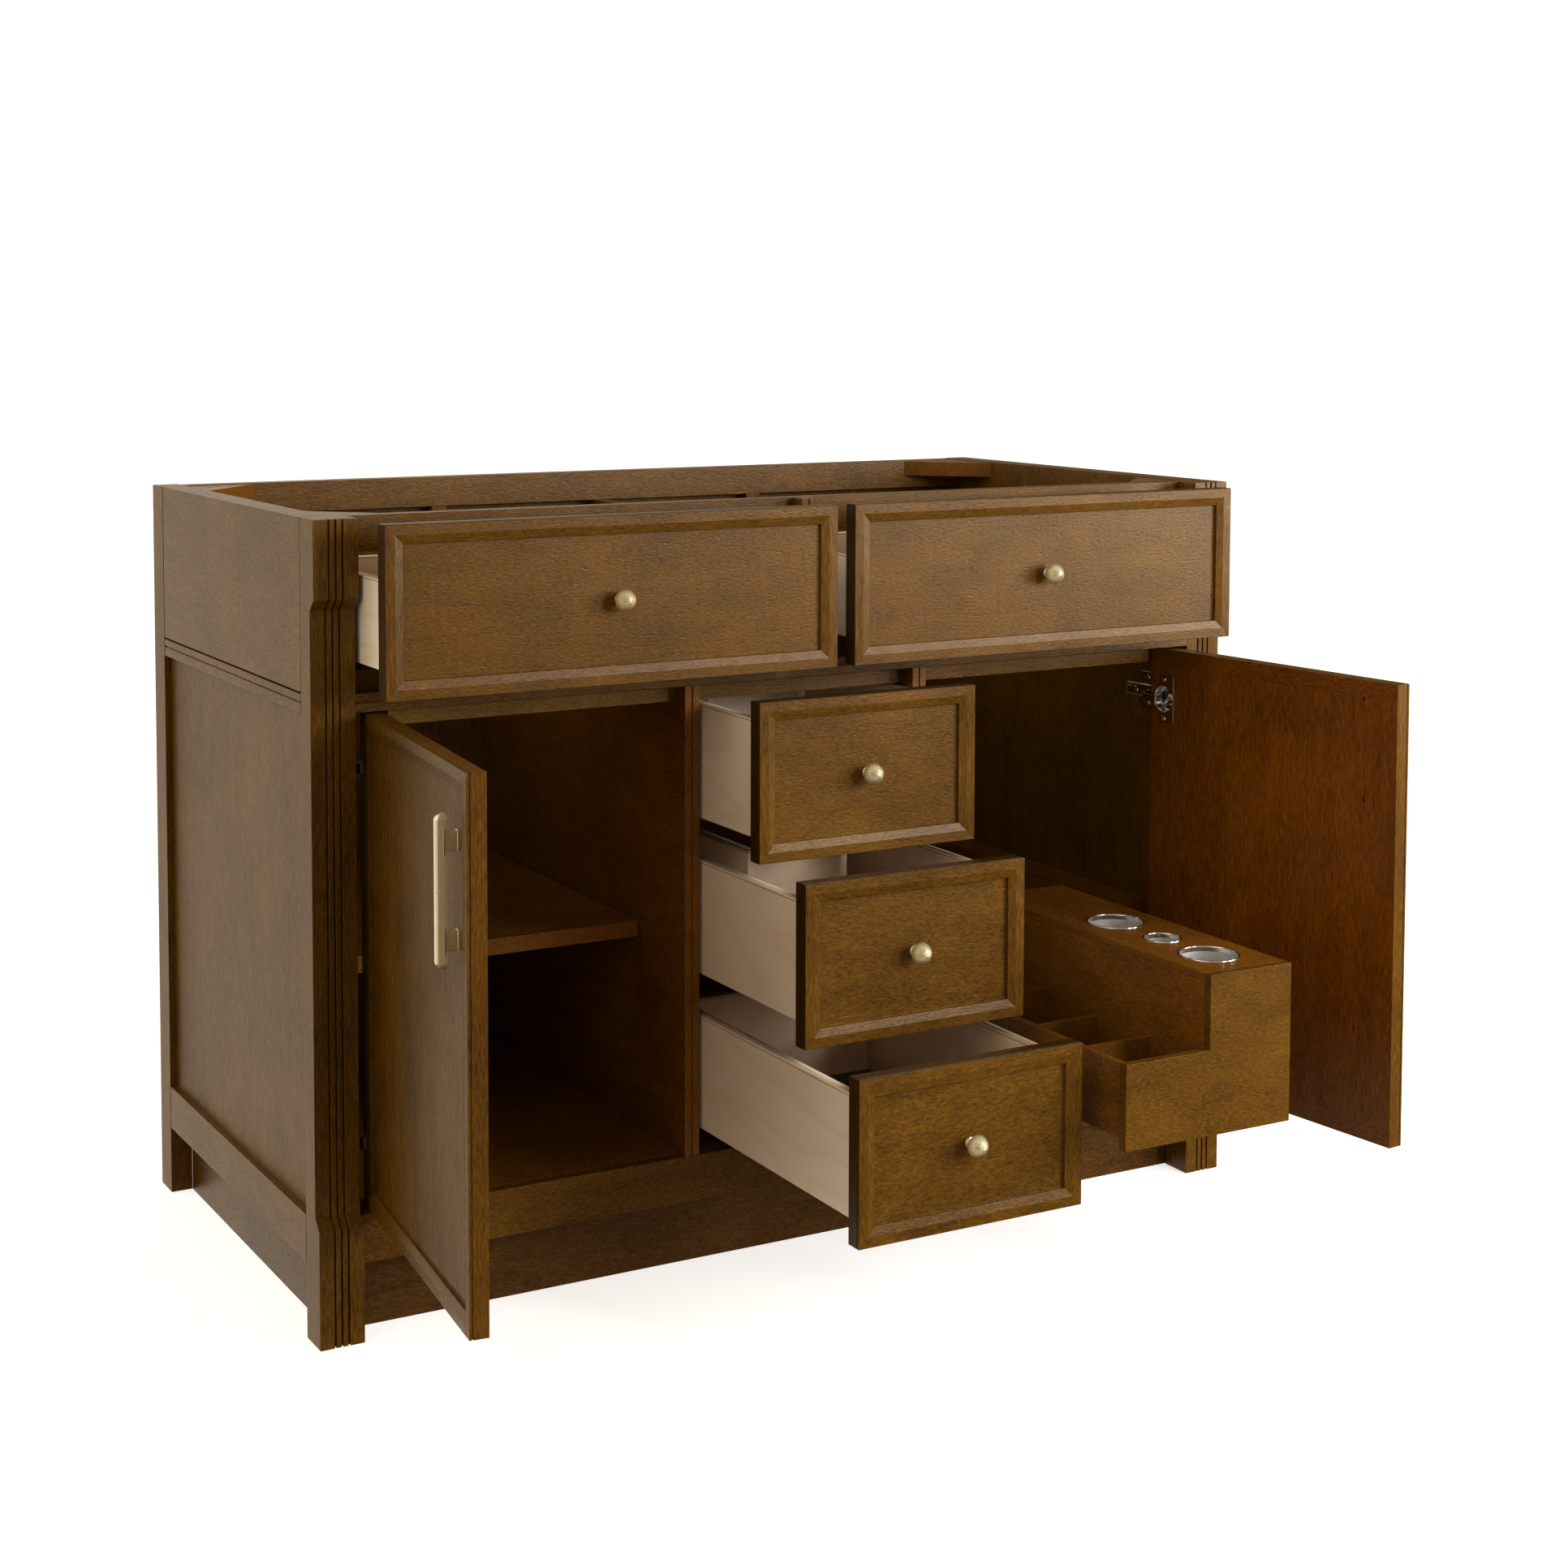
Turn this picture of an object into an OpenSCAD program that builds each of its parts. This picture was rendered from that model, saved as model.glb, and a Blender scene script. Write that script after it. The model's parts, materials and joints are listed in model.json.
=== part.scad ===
// Free-standing bathroom vanity cabinet, without its worktop.
// X runs to the right, Y to the back and Z up. The origin is on the floor, in the middle of the
// front toe board's underside. Helper sizes called "depth" count from the posts' front face.

/* [Cabinet] */
// Overall width across the posts
cabinet_w = 1219; // [1150:1:1300]
// Overall depth from the posts' front to the legs' back
cabinet_d = 585; // [560:1:620]
// Overall height
cabinet_h = 888; // [860:1:920]
// Thickness of the partitions, rails and stretchers
board_t = 19; // [16:0.5:22]

/* [Posts and legs] */
// Width of a front post
post_w = 50.5; // [46:0.5:60]
// Depth of a front post, and of a rear leg
post_d = 41.4; // [38:0.2:48]
// How far a post's middle stands back from its top and foot
post_step = 12; // [8:1:16]
// Height of a post's foot
post_foot_h = 129; // [110:1:140]
// Height of a post's top block
post_top_h = 85; // [70:1:100]
// Width of a rear leg at its foot
leg_w = 27; // [22:1:32]

/* [Front] */
// Thickness of the doors and drawer fronts
front_t = 20; // [18:1:22]
// Gap round each door and drawer front
gap = 2; // [1.5:0.25:3]
// Flat border of a front's frame
border = 11.2; // [8:0.2:16]
// Width of the bevel inside the border
bevel_w = 9.5; // [6:0.5:12]
// How far a front's middle panel stands back
panel_step = 6; // [4:0.5:8]
// Distance between the faces of the drawer stack
stack_w = 288.6; // [260:0.2:320]

/* [Heights] */
// Height of the toe space under the bottom rail
toe_h = 82; // [70:1:100]
// Height of the cabinet floor's top
floor_h = 135.4; // [125:0.2:150]
// Height of the mid rail's underside
mid_h = 679.8; // [650:0.2:700]
// Height of the mid rail's top
mid_top = 700; // [690:0.5:720]
// Height of the shelf's underside
shelf_h = 367; // [300:1:450]

/* [Stored pose] */
// How far the two top drawers stand out
top_pull = 82.5; // [0:0.5:200]
// How far the upper stack drawer stands out
upper_pull = 133.5; // [0:0.5:340]
// How far the middle stack drawer stands out
middle_pull = 231.9; // [0:0.5:340]
// How far the lower stack drawer stands out
lower_pull = 340.5; // [0:0.5:345]
// How far the doors stand open, in degrees
door_open = 96.3; // [0:0.1:96.3]

/* [Organiser] */
// Width of the pull-out organiser
org_w = 228.5; // [200:0.5:240]
// Length of the pull-out organiser
org_l = 424; // [380:1:430]
// Height of its front panel's tall side
org_h = 179.1; // [150:0.5:200]
// Height of its front panel's low side
org_low_h = 95.6; // [70:0.5:120]
// Width of its low side
org_low_w = 114.2; // [90:0.5:130]
// How far it travels while the right door opens fully
org_travel = 519.8; // [400:0.2:519.8]

/* [Hidden] */

stain = [0.42, 0.26, 0.12];
stain_dark = [0.30, 0.18, 0.09];
birch = [0.86, 0.76, 0.62];
brass = [0.80, 0.70, 0.48];
steel = [0.75, 0.75, 0.77];
zinc = [0.55, 0.56, 0.58];

half_w = cabinet_w / 2;
rim = 0.5;                       // shadow line between boards that are planted side by side
overcut = 1;                     // how far a cutter runs past the face that it opens

// Depths, from the posts' front face
face_d = post_step;              // doors, drawer fronts and the face frame
front_back = face_d + front_t;   // back of a closed front
stretch_d = front_back + 1;      // front of the stretchers behind the face frame
back_d = cabinet_d - 8;          // front of the back panel
toe_d = 43;                      // front of the toe board
toe_t = 18;
origin_d = toe_d + toe_t / 2;

// Sides: a structural panel with thin boards planted on it
side_in = 32;                    // inner face, from the outside
plant_t = 8;                     // thickness of the planted boards
side_x = half_w - side_in;
inner_x = half_w - post_w;       // inner face of a post
part_in = stack_w / 2;           // partition face towards the drawer stack
part_out = part_in + board_t;
groove_w = 1.6;
groove_deep = 2;

// Doors
door_w = inner_x - part_out - 2 * gap;
door_z = floor_h + gap;
door_h = mid_h - gap - door_z;
pivot_in = 21.5;                 // pivot, from the post's inner face towards the middle
pivot_x = inner_x - pivot_in;
pivot_d = 20.3;
hinge_from_end = 64;             // hinge centre, from the door's top and bottom
hinge_zs = [door_z + hinge_from_end, door_z + door_h - hinge_from_end];
cup_d = 35;
cup_deep = 11;
cup_from_edge = 22.5;
cup_x = inner_x - gap - cup_from_edge;
block_h = 80;
block_end = 119;                 // depth of a hinge block's back end

// Drawer fronts
stack_front_w = stack_w - 2 * gap;
stack_front_h = (door_h - 2 * 2.4) / 3;
stack_step = stack_front_h + 2.4;
divider_w = board_t;
top_front_w = inner_x - divider_w / 2 - 2 * gap;
top_front_x = (inner_x + divider_w / 2) / 2;
top_front_z = mid_top + gap;
top_front_h = cabinet_h - gap - top_front_z;

// Drawer boxes
wall_t = 12;
base_up = 8;                     // underside of a box's base, from the underside of its walls
base_t = 6;
box_gap = 4.7;
stack_box_w = stack_w - 2 * box_gap;
stack_box_h = 132;
stack_box_l = 400;
stack_box_up = 26;               // underside of the walls, from the underside of the front
top_box_w = top_front_w - 7;
top_box_h = 95;
top_box_l = 255;
top_box_up = 30;
notch_w = 136;                   // outside width of the walls round the plumbing notch
notch_at = 235;                  // front face of the notch's front wall, from the box's front end
runner_w = 30;
runner_h = 9;
runner_drop = 11;

// Organiser, from the low front corner of its front panel. It runs out as the right door opens.
door_limit = 96.3;
org_pull = org_travel * door_open / door_limit;
org_x = 168.2;
org_z = 202.9;
org_front_t = 11.2;
org_wall_t = 9;
org_up = 11;                     // underside of the box, from the underside of the front panel
org_d = 149 - org_pull;          // depth of the front panel's face
org_rows = [91, 185.5, 282];     // dividers' front faces, from the box's front end
org_lid_t = 9;
cup_rs = [35.7, 23.5, 35.7];     // rim radius of each cup, from the front
cup_ys = [71.6, 153.5, 240.4];
cup_h = 110;
cup_wall = 1.2;
cup_lip = 2.6;
tall_mid = (org_low_w + org_w) / 2;

module from_front() translate([0, -origin_d, 0]) children();
module both_sides() { children(); mirror([1, 0, 0]) children(); }
// A board between two corners, given as depths from the front
module board(x, d, z) translate([x[0], d[0], z[0]]) cube([x[1] - x[0], d[1] - d[0], z[1] - z[0]]);
// A board cut to an outline of [depth, height] points, with its thickness along X
module side_board(x, w, points)
    translate([x, 0, 0]) rotate([90, 0, 90]) linear_extrude(w) polygon(points);

// ---- posts and legs ----
module front_post() {
    foot_top = post_foot_h + post_step;
    block_low = cabinet_h - post_top_h;
    outline = [[0, 0], [post_d, 0], [post_d, cabinet_h], [0, cabinet_h], [0, block_low],
        [post_step, block_low - post_step], [post_step, foot_top], [0, post_foot_h]];
    flute_w = 2;
    flute_deep = 4;
    flute = [[-overcut, -overcut], [flute_deep, -overcut], [flute_deep, post_foot_h],
        [post_step + flute_deep, foot_top], [post_step + flute_deep, block_low - post_step],
        [flute_deep, block_low], [flute_deep, cabinet_h + overcut], [-overcut, cabinet_h + overcut]];
    difference() {
        side_board(inner_x, post_w, outline);
        for (from_out = [17.4, 25.2, 32.9])
            side_board(half_w - from_out - flute_w / 2, flute_w, flute);
    }
}

module rear_leg() union() {
    board([half_w - leg_w, half_w], [cabinet_d - post_d, cabinet_d], [0, toe_h + 1]);
    board([side_x, half_w], [cabinet_d - post_d, cabinet_d], [toe_h + 1, cabinet_h]);
}

module front_left_post() color(stain_dark) from_front() mirror([1, 0, 0]) front_post();
module front_right_post() color(stain_dark) from_front() front_post();
module rear_left_leg() color(stain) from_front() mirror([1, 0, 0]) rear_leg();
module rear_right_leg() color(stain) from_front() rear_leg();

// ---- sides ----
side_front = post_d + rim;
side_back = cabinet_d - post_d - 1.5;

module upper_side() board([half_w - plant_t, half_w], [side_front, side_back], [mid_top + 1.5, cabinet_h]);
module side_panel() board([side_x, half_w - plant_t], [post_d, cabinet_d - post_d], [toe_h + 1, cabinet_h]);

module left_upper_side() color(stain) from_front() mirror([1, 0, 0]) upper_side();
module right_upper_side() color(stain) from_front() upper_side();
module left_side_panel() color(stain) from_front() mirror([1, 0, 0]) side_panel();
module right_side_panel() color(stain) from_front() side_panel();

module side_mid_rails() color(stain) from_front() both_sides() difference() {
    board([half_w - plant_t, half_w], [side_front, side_back], [mid_h - 1, mid_top - 0.5]);
    board([half_w - groove_deep, half_w + overcut], [side_front - overcut, side_back + overcut],
        [689.8, 689.8 + groove_w]);
}

module side_bottom_rails() color(stain) from_front() both_sides()
    board([half_w - plant_t, half_w], [side_front, side_back], [toe_h + 1, floor_h]);

module side_toe_boards() color(stain_dark) from_front() both_sides()
    board([half_w - leg_w - toe_t, half_w - leg_w], [post_d, cabinet_d - post_d], [0, toe_h + 1]);

// ---- base ----
module front_toe_board() color(stain_dark) from_front()
    board([leg_w + toe_t - half_w, half_w - leg_w - toe_t], [toe_d, toe_d + toe_t], [0, toe_h]);

module front_bottom_rail() color(stain) from_front()
    board([-inner_x, inner_x], [face_d, face_d + 14], [toe_h, floor_h]);

module bottom_panel() color(stain) from_front() union() {
    board([-inner_x, inner_x], [face_d + 14, post_d], [floor_h - board_t, floor_h]);
    board([-side_x, side_x], [post_d, back_d], [floor_h - board_t, floor_h]);
}

// ---- partitions and the face frame ----
module partition() difference() {
    side_board(part_in, board_t, [[face_d, floor_h], [back_d, floor_h], [back_d, mid_top],
        [stretch_d, mid_top], [stretch_d, mid_h], [face_d, mid_h]]);
    board([part_in + (board_t - groove_w) / 2, part_in + (board_t + groove_w) / 2],
        [face_d - overcut, face_d + groove_deep], [floor_h - overcut, mid_h + overcut]);
}

module left_partition() color(stain) from_front() mirror([1, 0, 0]) partition();
module right_partition() color(stain) from_front() partition();

module mid_rail() color(stain) from_front() difference() {
    board([-inner_x, inner_x], [face_d, face_d + board_t], [mid_h, mid_top]);
    board([-inner_x - overcut, inner_x + overcut], [face_d - overcut, face_d + groove_deep],
        [689.8, 689.8 + groove_w]);
}

// The side stretchers are cut back at the posts, where the doors' hinge edges swing past
module mid_stretchers() color(stain) from_front() union() {
    hinge_clear = 44;
    low = 660;
    both_sides() translate([0, stretch_d + board_t, 0]) rotate([90, 0, 0]) linear_extrude(board_t)
        polygon([[part_out, low], [inner_x - hinge_clear, low], [inner_x - hinge_clear, mid_h],
            [inner_x, mid_h], [inner_x, 722.5], [part_out, 722.5]]);
    board([-part_in, part_in], [stretch_d, stretch_d + board_t], [low, mid_top]);
}

stretch_low = cabinet_h - 39;    // underside of the top stretcher

module top_divider() color(stain) from_front() difference() {
    side_board(-divider_w / 2, divider_w, [[face_d, mid_top], [back_d, mid_top], [back_d, stretch_low],
        [stretch_d, stretch_low], [stretch_d, cabinet_h], [face_d, cabinet_h]]);
    board([-groove_w / 2, groove_w / 2], [face_d - overcut, face_d + groove_deep],
        [mid_top - overcut, cabinet_h + overcut]);
}

module top_stretcher() color(stain) from_front()
    board([-inner_x, inner_x], [stretch_d, stretch_d + board_t], [stretch_low, cabinet_h]);

// ---- corner gussets and the back ----
gusset_t = 20;
gusset_top = cabinet_h - 1.5;
pocket_r = 3.5;

module gusset(leg, depth, toward_back)
    translate([side_x, depth, gusset_top - gusset_t]) linear_extrude(gusset_t)
        polygon([[0, 0], [-leg, 0], [0, toward_back ? leg : -leg]]);

module front_gussets() color(stain) from_front() both_sides() gusset(86, stretch_d + board_t, true);

module rear_gussets() color(stain) from_front() both_sides() difference() {
    gusset(90, back_d - board_t, false);
    for (along = [-11, 11])
        translate([side_x - 28 + along * 0.7, back_d - board_t - 28 - along * 0.7, gusset_top - gusset_t - overcut])
            cylinder(h = gusset_t + 2 * overcut, r = pocket_r, $fn = 32);
}

module back_top_rail() color(stain) from_front()
    board([-side_x, side_x], [back_d - board_t, back_d], [stretch_low, cabinet_h - 0.5]);

module back_stiles() color(stain) from_front() both_sides()
    board([225.5, 246.5], [back_d - board_t, back_d], [mid_top, stretch_low]);

module back_panel() color(stain_dark) from_front()
    board([-side_x, side_x], [back_d, back_d + 6], [toe_h + 1, cabinet_h - 0.5]);

// ---- left bay ----
module shelf() color(stain) from_front()
    board([2 - side_x, -part_out - 2], [126, back_d - 2], [shelf_h, shelf_h + board_t]);

module shelf_pins() color(steel) from_front()
    for (depth = [165, 505]) {
        translate([-side_x, depth, shelf_h - 3]) rotate([0, 90, 0]) cylinder(h = 9, r = 3, $fn = 24);
        translate([-part_out - 9, depth, shelf_h - 3]) rotate([0, 90, 0]) cylinder(h = 9, r = 3, $fn = 24);
    }

// ---- hinges: fixed arms on blocks, and cups in the doors ----
module at_hinges() both_sides() for (z = hinge_zs) translate([0, 0, z]) children();

module hinge_blocks() color(stain) from_front() at_hinges()
    board([inner_x, side_x], [post_d, block_end], [-block_h / 2, block_h / 2]);

// Mounting plate, arm, and a cranked neck that reaches round the door's edge into its cup
module hinge_arms() color(steel) from_front() at_hinges() union() {
    neck_x = pivot_x - 18;
    plate_t = 3;
    neck_t = 2;
    neck_d = 47;
    tip_d = 24.5;
    board([inner_x - plate_t, inner_x], [66, 104], [-24, 24]);
    board([inner_x - 13.5, inner_x - plate_t], [neck_d, 117], [-8, 8]);
    board([neck_x, inner_x - plate_t], [neck_d, neck_d + 3], [-6, 6]);
    board([neck_x, neck_x + neck_t], [tip_d, neck_d + 3], [-4, 4]);
    board([neck_x, neck_x + 10], [tip_d, tip_d + 3], [-4, 4]);
}

// ---- runners, ledge and organiser base ----
module runner(x, z, length) board(x, [54, 54 + length], [z, z + runner_h]);

module drawer_runners() color(zinc) from_front() both_sides() {
    top_z = top_front_z + top_box_up - runner_drop;
    for (row = [0:2])
        runner([stack_box_w / 2 - runner_w, part_in],
            door_z + row * stack_step + stack_box_up - runner_drop, stack_box_l - 15);
    runner([top_front_x + top_box_w / 2 - runner_w, side_x], top_z, top_box_l);
    runner([divider_w / 2, top_front_x - top_box_w / 2 + runner_w], top_z, top_box_l);
}

module side_ledge() color(stain) from_front()
    board([side_x - 40, side_x], [block_end - 7, back_d], [273, 332.8]);

slide_xs = [org_x + 16, org_x + org_w - 40];
slide_w = 24;
base_top = org_z + org_up - 14;

module organiser_base() color(stain) from_front() union()
    for (x = slide_xs) {
        board([x, x + slide_w], [60, 560], [floor_h, base_top - 6]);
        board([x + 2, x + slide_w - 2], [36, 560], [base_top - 6, base_top]);
    }

// ---- fronts ----
// A slab with a flat border, a bevel and a sunk middle. Its face is at depth 0.
module framed_slab(w, h) {
    bevel_deep = 2.5;
    slot_deep = 1;
    slot_at = 3.2;
    // the bevelled sides of the pocket are the overlap of two tapered prisms, one along X and one along Z
    module taper(across, along)
        rotate([0, 0, 90]) rotate([90, 0, 0]) linear_extrude(along, center = true)
            polygon([[-overcut, across / 2 + overcut * bevel_w / bevel_deep],
                [bevel_deep, across / 2 - bevel_w], [bevel_deep, bevel_w - across / 2],
                [-overcut, -across / 2 - overcut * bevel_w / bevel_deep]]);
    module ring(inner_w, inner_h) difference() {
        cube([w + 2, 1, h + 2], center = true);
        cube([inner_w, 3, inner_h], center = true);
    }
    open_w = w - 2 * border;
    open_h = h - 2 * border;
    difference() {
        translate([-w / 2, 0, 0]) cube([w, front_t, h]);
        translate([0, 0, h / 2]) intersection() {
            taper(open_h, w);
            rotate([0, 90, 0]) taper(open_w, h);
        }
        translate([bevel_w - open_w / 2, 0, border + bevel_w])
            cube([open_w - 2 * bevel_w, panel_step, open_h - 2 * bevel_w]);
        translate([0, slot_at, h / 2]) ring(w - 2 * slot_deep, h - 2 * slot_deep);
    }
}

// ---- doors ----
door_mid = (inner_x + part_out) / 2;

module door_slab() difference() {
    translate([door_mid, face_d, door_z]) framed_slab(door_w, door_h);
    for (z = hinge_zs)
        translate([cup_x, front_back + overcut, z]) rotate([90, 0, 0]) cylinder(h = cup_deep + overcut, d = cup_d, $fn = 64);
}

// The cup's flange lies on the door's inner face
module hinge_cups() for (z = hinge_zs) translate([cup_x, front_back, z]) rotate([90, 0, 0]) difference() {
    union() {
        cylinder(h = cup_deep, d = cup_d, $fn = 64);
        translate([-13, -31, -1.2]) cube([26, 62, 1.2]);
    }
    translate([0, 0, -2]) cylinder(h = cup_deep + 1, d = cup_d - 1.6, $fn = 64);
    for (y = [-24, 24]) translate([0, y, -2]) cylinder(h = 4, r = 2.2, $fn = 24);
}

handle_z = 556.8;
handle_l = 151;
handle_c = 96;
handle_t = 10;
handle_proj = 24.5;              // from the sunk panel to the bar's face
handle_x = part_out + gap + 50;

// A bar with chamfered corners on two stand-offs
module door_handle() translate([handle_x, face_d + panel_step, handle_z]) union() {
    chamfer = 2;
    side = handle_t / 2;
    translate([0, handle_t - handle_proj, -handle_l / 2]) linear_extrude(handle_l)
        polygon([[-side, 0], [side, 0], [side, chamfer - handle_t], [side - chamfer, -handle_t],
            [chamfer - side, -handle_t], [-side, chamfer - handle_t]]);
    for (z = [-handle_c / 2, handle_c / 2])
        translate([-4, handle_t - handle_proj, z - 9.5]) cube([8, handle_proj - handle_t, 19]);
}

// Swings what is drawn for the closed right door to the stored angle
module swung() translate([pivot_x, pivot_d, 0]) rotate([0, 0, door_open]) translate([-pivot_x, -pivot_d, 0])
    children();

module left_door() color(stain) from_front() mirror([1, 0, 0]) swung() door_slab();
module right_door() color(stain) from_front() swung() door_slab();
module left_handle() color(brass) from_front() mirror([1, 0, 0]) swung() door_handle();
module right_handle() color(brass) from_front() swung() door_handle();
module left_hinge_cups() color(steel) from_front() mirror([1, 0, 0]) swung() hinge_cups();
module right_hinge_cups() color(steel) from_front() swung() hinge_cups();

// ---- drawers ----
// Four walls and a base, open at the top. The front end is at depth 0.
module plain_box(w, l, h) difference() {
    translate([-w / 2, 0, 0]) cube([w, l, h]);
    translate([wall_t - w / 2, wall_t, base_up + base_t])
        cube([w - 2 * wall_t, l - 2 * wall_t, h]);
    translate([wall_t - w / 2, wall_t, -overcut])
        cube([w - 2 * wall_t, l - 2 * wall_t, base_up + overcut]);
}

// The same box with a notch in its back that clears the plumbing
module notched_box(w, l, h) {
    inside_x = w / 2 - wall_t;
    notch_x = notch_w / 2;
    module hollow(z, height) union() {
        translate([-inside_x, wall_t, z]) cube([2 * inside_x, notch_at - wall_t, height]);
        both_sides() translate([notch_x, notch_at - overcut, z])
            cube([inside_x - notch_x, l - wall_t - notch_at + overcut, height]);
    }
    difference() {
        translate([-w / 2, 0, 0]) cube([w, l, h]);
        translate([wall_t - notch_x, notch_at + wall_t, -overcut])
            cube([notch_w - 2 * wall_t, l, h + 2 * overcut]);
        hollow(base_up + base_t, h);
        hollow(-overcut, base_up + overcut);
    }
}

// A knob with a rosette, a neck and a domed head, standing out of depth 0
knob_r = 12.3;
knob_proj = 25;
module knob() rotate([90, 0, 0]) rotate_extrude($fn = 48) union() {
    brim = 15.5;
    dome_h = knob_proj - brim;
    square([6.8, 2]);
    square([4.6, brim]);
    translate([0, brim - 4]) square([knob_r, 4]);
    translate([0, brim]) intersection() {
        scale([knob_r / dome_h, 1]) circle(r = dome_h, $fn = 48);
        square([knob_r, dome_h]);
    }
}

module stack_place(row, pull) translate([0, face_d - pull, door_z + row * stack_step]) children();
module top_place(side) translate([side * top_front_x, face_d - top_pull, top_front_z]) children();
module stack_front() framed_slab(stack_front_w, stack_front_h);
module top_front() framed_slab(top_front_w, top_front_h);
module stack_knob() translate([0, panel_step, stack_front_h / 2]) knob();
module top_knob() translate([0, panel_step, top_front_h / 2]) knob();
module top_box() translate([0, front_t, top_box_up]) plain_box(top_box_w, top_box_l, top_box_h);
module stack_notched() translate([0, front_t, stack_box_up]) notched_box(stack_box_w, stack_box_l, stack_box_h);
module stack_plain() translate([0, front_t, stack_box_up]) plain_box(stack_box_w, stack_box_l, stack_box_h);

module left_top_front() color(stain) from_front() top_place(-1) top_front();
module left_top_box() color(birch) from_front() top_place(-1) top_box();
module left_top_knob() color(brass) from_front() top_place(-1) top_knob();
module right_top_front() color(stain) from_front() top_place(1) top_front();
module right_top_box() color(birch) from_front() top_place(1) top_box();
module right_top_knob() color(brass) from_front() top_place(1) top_knob();
module upper_front() color(stain) from_front() stack_place(2, upper_pull) stack_front();
module upper_box() color(birch) from_front() stack_place(2, upper_pull) stack_notched();
module upper_knob() color(brass) from_front() stack_place(2, upper_pull) stack_knob();
module middle_front() color(stain) from_front() stack_place(1, middle_pull) stack_front();
module middle_box() color(birch) from_front() stack_place(1, middle_pull) stack_notched();
module middle_knob() color(brass) from_front() stack_place(1, middle_pull) stack_knob();
module lower_front() color(stain) from_front() stack_place(0, lower_pull) stack_front();
module lower_box() color(birch) from_front() stack_place(0, lower_pull) stack_plain();
module lower_knob() color(brass) from_front() stack_place(0, lower_pull) stack_knob();

// ---- pull-out organiser ----
module organiser_place() translate([org_x, org_d, org_z]) children();

// Middle members of the slides, which move half as far as the organiser
module organiser_slides() color(zinc) from_front()
    for (x = slide_xs)
        board([x + 5, x + slide_w - 5], [190 - org_pull / 2, 500 - org_pull / 2], [base_top + 0.5, base_top + 6]);

// One board with a tall side and a low side
module organiser_front() color(stain) from_front() organiser_place()
    translate([0, org_front_t, 0]) rotate([90, 0, 0]) linear_extrude(org_front_t)
        polygon([[0, 0], [org_w, 0], [org_w, org_h], [org_low_w, org_h], [org_low_w, org_low_h], [0, org_low_h]]);

// Low compartments beside a tall closed box, with slide members under it
module organiser_box() color(stain) from_front() organiser_place() translate([0, org_front_t, 0]) union() {
    length = org_l - org_front_t;
    roof = org_h - 9;
    wall = org_wall_t;
    left = 3;
    right = org_w;
    base_top_z = org_up + 8;
    low_top = org_low_h - 2;
    board([left, right], [0, length], [org_up, base_top_z]);
    board([left, left + wall], [0, length], [org_up, low_top]);
    board([org_low_w, org_low_w + wall], [0, length], [org_up, roof]);
    board([right - wall, right], [0, length], [org_up, roof]);
    board([org_low_w, right], [length - wall, length], [org_up, roof]);
    board([left, org_low_w + 1], [length - wall, length], [org_up, low_top - org_lid_t]);
    for (d = org_rows) board([left, org_low_w + 1], [d, d + 7], [org_up, low_top - org_lid_t]);
    for (x = slide_xs)
        board([x - org_x + 2, x - org_x + slide_w - 2], [10, length], [org_up - 7, org_up]);
}

// Lid of the closed rear compartment on the low side
module organiser_lid() color(stain) from_front() organiser_place() translate([0, org_front_t, 0])
    board([3 + org_wall_t, org_low_w], [org_rows[2], org_l - org_front_t],
        [org_low_h - 2 - org_lid_t, org_low_h - 2]);

module organiser_top() color(stain) from_front() organiser_place() translate([0, org_front_t, 0]) difference() {
    board([org_low_w, org_w], [0, org_l - org_front_t], [org_h - 9, org_h]);
    for (i = [0:2])
        translate([tall_mid, cup_ys[i] - org_front_t, org_h - 10]) cylinder(h = 12, r = cup_rs[i] - 1.5, $fn = 64);
}

// Metal cups that hang in the top by their rims
module cup(r) rotate_extrude($fn = 64) union() {
    square([r - cup_lip, cup_wall]);
    translate([r - cup_lip - cup_wall, 0]) square([cup_wall, cup_h + 1]);
    translate([r - cup_lip - cup_wall, cup_h]) square([cup_wall + cup_lip, 1]);
}

module organiser_cups() color(steel) from_front() organiser_place()
    for (i = [0:2]) translate([tall_mid, cup_ys[i], org_h - cup_h]) cup(cup_rs[i]);

front_left_post();
front_right_post();
rear_left_leg();
rear_right_leg();
left_upper_side();
right_upper_side();
left_side_panel();
right_side_panel();
side_mid_rails();
side_bottom_rails();
side_toe_boards();
front_toe_board();
front_bottom_rail();
bottom_panel();
left_partition();
right_partition();
mid_rail();
mid_stretchers();
top_divider();
top_stretcher();
front_gussets();
rear_gussets();
back_top_rail();
back_stiles();
back_panel();
shelf();
shelf_pins();
hinge_blocks();
hinge_arms();
drawer_runners();
side_ledge();
organiser_base();
left_door();
left_handle();
left_hinge_cups();
right_door();
right_handle();
right_hinge_cups();
left_top_front();
left_top_box();
left_top_knob();
right_top_front();
right_top_box();
right_top_knob();
upper_front();
upper_box();
upper_knob();
middle_front();
middle_box();
middle_knob();
lower_front();
lower_box();
lower_knob();
organiser_slides();
organiser_front();
organiser_box();
organiser_lid();
organiser_top();
organiser_cups();
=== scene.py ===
"""The looks of a bathroom vanity cabinet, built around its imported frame. Lengths are in metres."""

import json
import math

import bmesh
import bpy
from mathutils import Matrix, Vector


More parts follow.
